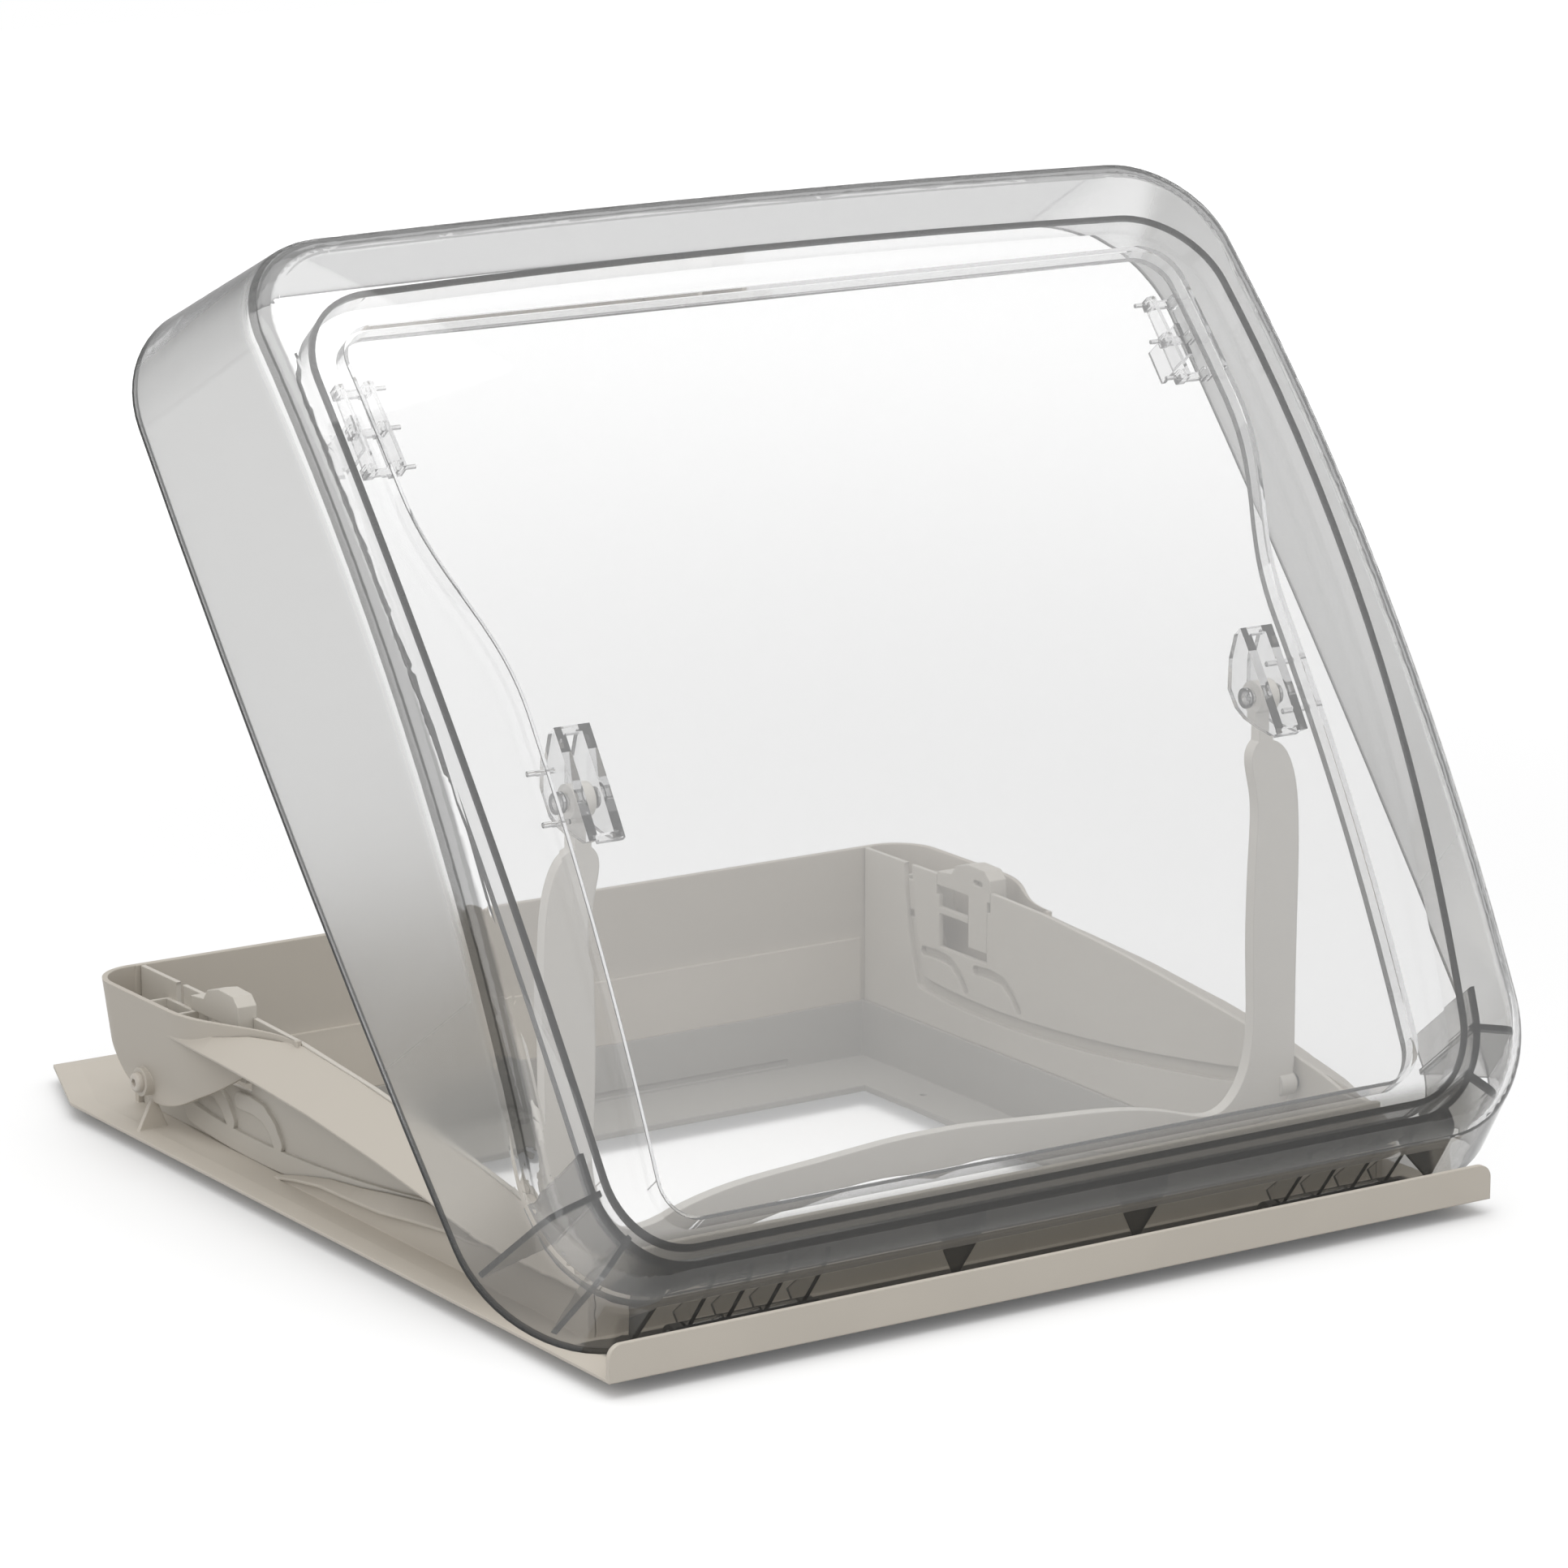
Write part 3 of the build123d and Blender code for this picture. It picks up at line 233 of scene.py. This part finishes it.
def floorFinish(name, floor, glowNear):
    # White with a glow that grows outwards where it is looked at, grey where it only bounces
    finish = Finish(name)
    path = finish.add("ShaderNodeLightPath")
    seen = path.out("Is Camera Ray") + path.out("Is Glossy Ray") + path.out("Is Transmission Ray")
    matt = finish.add("ShaderNodeBsdfDiffuse", {}, {"Color": grey(floor["albedo"])})
    low = finish.add("ShaderNodeBsdfDiffuse", {}, {"Color": grey(floor["bounce"])})
    length = {"operation": "LENGTH"}
    away = finish.add("ShaderNodeVectorMath", length, {0: finish.spot()}).out("Value")
    far = finish.smooth(away, floor["nearEdge"], floor["farEdge"])
    strength = glowNear + far * (floor["glowFar"] - glowNear)
    glow = finish.add("ShaderNodeEmission", {}, {"Color": grey(1), "Strength": strength})
    shown = finish.add("ShaderNodeAddShader", {}, {0: matt, 1: glow})
    return finish.surface(finish.add("ShaderNodeMixShader", {}, {0: seen, 1: low, 2: shown}))


def addSquare(name, size, level, material, opening=0):
    # A flat square on the stage, with a square opening in its middle if one is given
    mesh = bpy.data.meshes.new(name)
    shape = bmesh.new()
    bmesh.ops.create_grid(shape, x_segments=1, y_segments=1, size=size / 2)
    if opening:
        bmesh.ops.inset_region(
            shape,
            faces=shape.faces[:],
            thickness=(size - opening) / 2,
            use_boundary=True,
            use_even_offset=True,
        )
        middle = min(shape.faces, key=lambda face: face.calc_center_median().length)
        bmesh.ops.delete(shape, geom=[middle], context="FACES_ONLY")
    bmesh.ops.translate(shape, vec=(0, 0, level), verts=shape.verts)
    shape.to_mesh(mesh)
    shape.free()
    mesh.materials.append(material)
    obj = bpy.data.objects.new(name, mesh)
    bpy.context.scene.collection.objects.link(obj)


def addFloor(floor):
    white = floorFinish("floorWhite", floor, floor["glowNear"])
    bright = floorFinish("groundWhite", floor, floor["groundGlow"])
    addSquare("roofPlane", floor["size"], floor["level"], white, floor["opening"])
    addSquare("groundUnderOpening", floor["groundSize"], floor["ground"], bright)


addFloor(floor)
print("studio ready")

# The dome's own frame, from the hinge and its range, and the crown's arc as in the CAD
hingeJoint = [joint for joint in frame["joints"] if joint["name"] == "dome_hinge"][0]
dome = {
    "hinge": Vector(hingeJoint["pos_m"]),
    "open": math.radians(-hingeJoint["range_deg"][0]),
    "crownFront": (0.006, 0.0406),
    "crownMiddle": (0.240, 0.0882),
    "crownBack": (0.465, 0.0825),
}


def circleThrough(first, second, third):
    # Centre and radius of the circle through three points
    (ax, ay), (bx, by), (cx, cy) = first, second, third
    twice = 2 * (ax * (by - cy) + bx * (cy - ay) + cx * (ay - by))
    a2, b2, c2 = ax * ax + ay * ay, bx * bx + by * by, cx * cx + cy * cy
    x = (a2 * (by - cy) + b2 * (cy - ay) + c2 * (ay - by)) / twice
    y = (a2 * (cx - bx) + b2 * (ax - cx) + c2 * (bx - ax)) / twice
    return x, y, math.hypot(ax - x, ay - y)


crownArc = circleThrough(dome["crownFront"], dome["crownMiddle"], dome["crownBack"])


def domePlace(finish):
    # Signals of the dome's frame: across, along from the hinge, up from the rim, and the drop
    # under the crown's arc, which is 3 mm on the crown's inner face and about 6 mm on the pane
    hinge = dome["hinge"]
    turned = finish.add(
        "ShaderNodeVectorRotate",
        {"rotation_type": "X_AXIS"},
        {"Vector": finish.spot(), "Center": hinge, "Angle": -dome["open"]},
    )
    parts = finish.add("ShaderNodeSeparateXYZ", {}, {0: turned})
    along = parts.out("Y") - hinge.y
    up = parts.out("Z") - hinge.z
    crownX, crownY, crownRadius = crownArc
    fromCentre = ((along - crownX) ** 2 + (up - crownY) ** 2) ** 0.5
    return {"across": parts.out("X"), "along": along, "up": up, "drop": crownRadius - fromCentre}


# Painted shade in the trough between the front lip and the collar's front wall: a dark strip of
# colour on the frame
troughShade = {
    "colour": rgb(72, 70, 67),
    "lip": -0.2440,
    "lipEase": 0.0006,
    "wall": -0.2005,
    "wallEase": 0.001,
    "half": 0.212,
    "endEase": 0.004,
}

# Beige mouldings: each one's colour, roughness and painted highlight along the edges, and the
# frame's painted shade on its collar
beige = {
    "frame": {
        "colour": rgb(191, 184, 173),
        "rough": 0.52,
        "edge": 1.25,
        # Painted shade: the collar share darkens the frame from 16 mm up, fully from 30 mm
        "collar": 0.86,
        "troughShade": troughShade,
    },
    # The inner frame's ledge: the same beige darkened, painted shade for the shade it lies in
    # inside the neck
    "shadedLedge": {"colour": rgb(163, 160, 154), "rough": 0.52, "edge": 1.25},
    "guide": {"colour": rgb(189, 184, 175), "rough": 0.5, "edge": 1.25},
    "bow": {"colour": rgb(196, 192, 185), "rough": 0.42, "edge": 1.12},
    "screw": {"colour": rgb(188, 181, 171), "rough": 0.4, "edge": 1.12},
}

# What all of them share: soft mottle, fine moulded grain, rounded edges with a painted highlight
# along them
beigeShared = {
    "collar": 1.0,
    "collarFrom": 0.016,
    "collarTo": 0.030,
    "mottleScale": 14.0,
    "mottleDetail": 3.0,
    "mottleLow": 0.35,
    "mottleHigh": 0.65,
    "mottleDark": 0.965,
    "mottleRough": 0.06,
    "grainScale": 1600.0,
    "grainDetail": 2.0,
    "grainStrength": 0.12,
    "grainDepth": 0.00015,
    "edgeRadius": 0.0009,
    "edgeSamples": 4,
    "edgeLow": 0.01,
    "edgeHigh": 0.25,
    "ior": 1.5,
}


# Where the trough's painted shade lies: behind the lip, before the collar's front wall, short of
# the ends
def troughMask(finish, place, troughShade):
    behind = finish.smooth(place.out("Y"), troughShade["lip"], troughShade["lip"] + troughShade["lipEase"])
    before = finish.fade(place.out("Y"), troughShade["wall"] - troughShade["wallEase"], troughShade["wall"])
    inner = finish.fade(abs(place.out("X")), troughShade["half"] - troughShade["endEase"], troughShade["half"])
    return behind * before * inner


def beigeFinish(name, look):
    look = {**beigeShared, **look}
    base = look["colour"]
    finish = Finish(name)
    spot = finish.spot()
    place = finish.add("ShaderNodeSeparateXYZ", {}, {0: spot})
    mottle = finish.noise(spot, look["mottleScale"], look["mottleDetail"])
    grain = finish.noise(spot, look["grainScale"], look["grainDetail"])
    samples = {"samples": look["edgeSamples"]}
    rounded = finish.add("ShaderNodeBevel", samples, {"Radius": look["edgeRadius"]})
    flat = finish.add("ShaderNodeNewGeometry").out("Normal")
    dot = {"operation": "DOT_PRODUCT"}
    agree = finish.add("ShaderNodeVectorMath", dot, {0: rounded, 1: flat}).out("Value")
    edge = finish.smooth(1 - agree, look["edgeLow"], look["edgeHigh"])
    # Painted shade on the upper part: darker from 16 to 30 mm up by the collar share, which is
    # below 1 only on the frame
    upperShade = finish.smooth(place.out("Z"), look["collarFrom"], look["collarTo"])
    pale = finish.smooth(mottle, look["mottleLow"], look["mottleHigh"])
    colour = finish.blend(pale, shade(base, look["mottleDark"]), base)
    colour = finish.blend(upperShade, colour, shade(base, look["collar"]))
    # Painted highlight: the colour goes lighter where the rounded normal turns from the flat one,
    # along the edges
    colour = finish.blend(edge, colour, shade(base, look["edge"]))
    # The trough's painted shade: a dark colour laid over the frame there
    if "troughShade" in look:
        mask = troughMask(finish, place, look["troughShade"])
        colour = finish.blend(mask, colour, look["troughShade"]["colour"])
    inputs = {"Strength": look["grainStrength"], "Distance": look["grainDepth"]}
    bump = finish.add("ShaderNodeBump", {}, {**inputs, "Height": grain, "Normal": rounded})
    rough = look["rough"] + look["mottleRough"] * (mottle - 0.5)
    shader = finish.add(
        "ShaderNodeBsdfPrincipled",
        {},
        {"Base Color": colour, "Roughness": rough, "Normal": bump, "IOR": look["ior"]},
    )
    return finish.surface(shader)


# Clear grey plastic: what the dome's clear pieces share
clear = {
    "crownTint": rgb(252, 252, 252),
    # The corner tint is painted shade, on the skirt's front corners and the bar's ends
    "cornerShadeTint": rgb(190, 189, 187),
    "frontHalf": 0.200,
    "frontSide": 0.222,
    "edgeTint": rgb(84, 84, 83),
    "edgeStart": 0.52,
    "edgeEnd": 0.95,
    "edgeShare": 0.9,
    "edgeBlend": 0.5,
    "through": 0.95,
    "density": 10.0,
    "ior": 1.49,
}


def edgeDark(finish, tint, look):
    # Clear plastic looks darker where it is seen edge-on, through more of it
    facing = finish.add("ShaderNodeLayerWeight", {}, {"Blend": look["edgeBlend"]}).out("Facing")
    turned = finish.smooth(facing, look["edgeStart"], look["edgeEnd"]) * look["edgeShare"]
    return finish.blend(turned, tint, look["edgeTint"])


def clearSurface(finish, tint, rough, look):
    finish.tinted(look["density"])
    shader = finish.add(
        "ShaderNodeBsdfPrincipled",
        {},
        {
            "Base Color": tint,
            "Roughness": rough,
            "IOR": look["ior"],
            "Transmission Weight": look["through"],
        },
    )
    return finish.surface(shader)


# Outer dome: polished crown, hazed skirt and dark cut rim, with painted shade along the fold
# round the crown, across the front band and on the front corners, and painted light on the back
# of the skirt
outerDome = {
    "skirtTint": rgb(222, 222, 221),
    "skirtFrom": 0.004,
    "skirtTo": 0.014,
    # The front tint is painted shade across the front band, for the shaded frame behind it
    "frontShadeTint": rgb(184, 183, 180),
    "frontEnd": 0.020,
    "cornerStart": 0.028,
    "cornerEnd": 0.075,
    # The back tint is painted light, lighter on the back of the skirt
    "backLightTint": rgb(232, 232, 232),
    "backStart": 0.455,
    "backEnd": 0.468,
    # The fold tint is painted shade along the fold round the crown, on the sides and back
    "foldShadeTint": rgb(110, 110, 109),
    "foldFrom": 0.0032,
    "foldTo": 0.0068,
    "foldEase": 0.0004,
    "rimTint": rgb(32, 32, 32),
    "rimFrom": 0.00112,
    "rimTo": 0.0014,
    "crownHaze": 0.015,
    "skirtHaze": 0.34,
    "hazeStart": 0.06,
    "hazeEnd": 0.16,
}


def outerClearFinish(look):
    finish = Finish("outerDomeClear")
    place = domePlace(finish)
    along, drop = place["along"], place["drop"]
    skirt = finish.smooth(drop, look["skirtFrom"], look["skirtTo"])
    middle = finish.fade(abs(place["across"]), look["frontHalf"], look["frontSide"])
    front = finish.fade(along, look["frontEnd"], look["cornerStart"]) * middle
    side = finish.smooth(along, look["cornerStart"], look["cornerEnd"])
    back = finish.smooth(along, look["backStart"], look["backEnd"])
    foldTop = finish.smooth(drop, look["foldFrom"], look["foldFrom"] + look["foldEase"])
    foldEnd = finish.fade(drop, look["foldTo"] - look["foldEase"], look["foldTo"])
    rim = finish.fade(place["up"], look["rimFrom"], look["rimTo"])
    # Painted shade on the skirt's front corners
    skirtTint = finish.blend(side, look["cornerShadeTint"], look["skirtTint"])
    # Painted light on the back of the skirt
    skirtTint = finish.blend(back, skirtTint, look["backLightTint"])
    tint = finish.blend(skirt, look["crownTint"], skirtTint)
    # Painted shade along the fold round the crown
    tint = finish.blend(foldTop * foldEnd * side, tint, look["foldShadeTint"])
    # Painted shade across the front band of the skirt
    tint = finish.blend(front, tint, look["frontShadeTint"])
    tint = finish.blend(rim, tint, look["rimTint"])
    hazed = skirt * finish.smooth(along, look["hazeStart"], look["hazeEnd"]) * (1 - back)
    rough = look["crownHaze"] + hazed * (look["skirtHaze"] - look["crownHaze"])
    return clearSurface(finish, edgeDark(finish, tint, look), rough, look)


# Inner dome: clear, with a near-black bonded line along the top of its border wall
innerDome = {"loopTint": rgb(6, 6, 6), "loopFrom": 0.0052, "loopTo": 0.0056, "rough": 0.01}


def innerClearFinish(look):
    finish = Finish("innerDomeClear")
    loop = finish.fade(domePlace(finish)["drop"], look["loopFrom"], look["loopTo"])
    tint = edgeDark(finish, look["crownTint"], look)
    tint = finish.blend(loop, tint, look["loopTint"])
    return clearSurface(finish, tint, look["rough"], look)


# Bar behind the front skirt: painted shade, dark along the front, darker still at its bonded top
frontBar = {
    "barShadeTint": rgb(92, 91, 88),
    "topTint": rgb(22, 22, 22),
    "topFrom": 0.0056,
    "topTo": 0.0062,
    "rough": 0.12,
}


def barFinish(look):
    finish = Finish("barClear")
    place = domePlace(finish)
    middle = finish.fade(abs(place["across"]), look["frontHalf"], look["frontSide"])
    top = finish.fade(place["drop"], look["topFrom"], look["topTo"])
    # Painted shade: the bar tint along the front, the corner tint at its ends
    tint = finish.blend(middle, look["cornerShadeTint"], look["barShadeTint"])
    tint = finish.blend(top, tint, look["topTint"])
    return clearSurface(finish, tint, look["rough"], look)


# Brackets, knuckles and pivot pins: thicker clear plastic
bracket = {"tint": rgb(240, 240, 240), "rough": 0.02, "density": 18.0, "through": 1.0}


def bracketFinish(look):
    finish = Finish("bracketClear")
    tint = edgeDark(finish, look["tint"], look)
    return clearSurface(finish, tint, look["rough"], look)


# Zinc-plated steel: hinge pins, slide pins and neck screws
steel = {
    "colour": rgb(176, 177, 178),
    "streakScale": 420.0,
    "streakDetail": 3.0,
    "streakRough": 0.14,
    "rough": 0.28,
}


def steelFinish(look):
    finish = Finish("zincSteel")
    streak = finish.noise(finish.spot(), look["streakScale"], look["streakDetail"])
    rough = look["rough"] + look["streakRough"] * streak
    shader = finish.add(
        "ShaderNodeBsdfPrincipled",
        {},
        {"Base Color": look["colour"], "Metallic": 1.0, "Roughness": rough},
    )
    return finish.surface(shader)


finishes = {kind: beigeFinish(f"{kind}Beige", look) for kind, look in beige.items()}
finishes["outerClear"] = outerClearFinish({**clear, **outerDome})
finishes["innerClear"] = innerClearFinish({**clear, **innerDome})
finishes["barClear"] = barFinish({**clear, **frontBar})
finishes["bracketClear"] = bracketFinish({**clear, **bracket})
finishes["steel"] = steelFinish(steel)
print("finishes made:", len(finishes))


def bothSides(*kinds):
    return [f"{kind}_{side}" for kind in kinds for side in ("left", "right")]


# Which nodes wear which finish
wears = {
    "frame": ["outer_frame"],
    "shadedLedge": ["inner_frame"],
    "guide": bothSides("guide_plate", "latch_striker", "latch_slider"),
    "bow": ["bow"],
    "screw": bothSides("side_screw"),
    "outerClear": ["outer_dome"],
    "innerClear": ["inner_dome"],
    "barClear": ["front_rib_bar"],
    "bracketClear": bothSides("hinge_knuckle", "bow_bracket", "hook_bracket", "bow_pivot_pin"),
    "steel": ["neck_screws"] + bothSides("hinge_pin", "slide_pin"),
}
seeThrough = ("outerClear", "innerClear", "barClear", "bracketClear")


def dress(node, finishName):
    # A clear piece casts no shadow, to stand in for the light that passes through it
    node.data.materials.clear()
    node.data.materials.append(finishes[finishName])
    if finishName in seeThrough:
        node.visible_shadow = False
        node.visible_diffuse = False


for finishName, wearers in wears.items():
    for wearer in wearers:
        dress(nodes[wearer], finishName)
print("pieces dressed:", sum(len(wearers) for wearers in wears.values()))

# Enough bounces for light to pass all the clear walls
bounces = 24
cycles = bpy.context.scene.cycles
cycles.max_bounces = bounces
cycles.transmission_bounces = bounces
cycles.transparent_max_bounces = bounces
bpy.context.scene.view_settings.view_transform = "Standard"
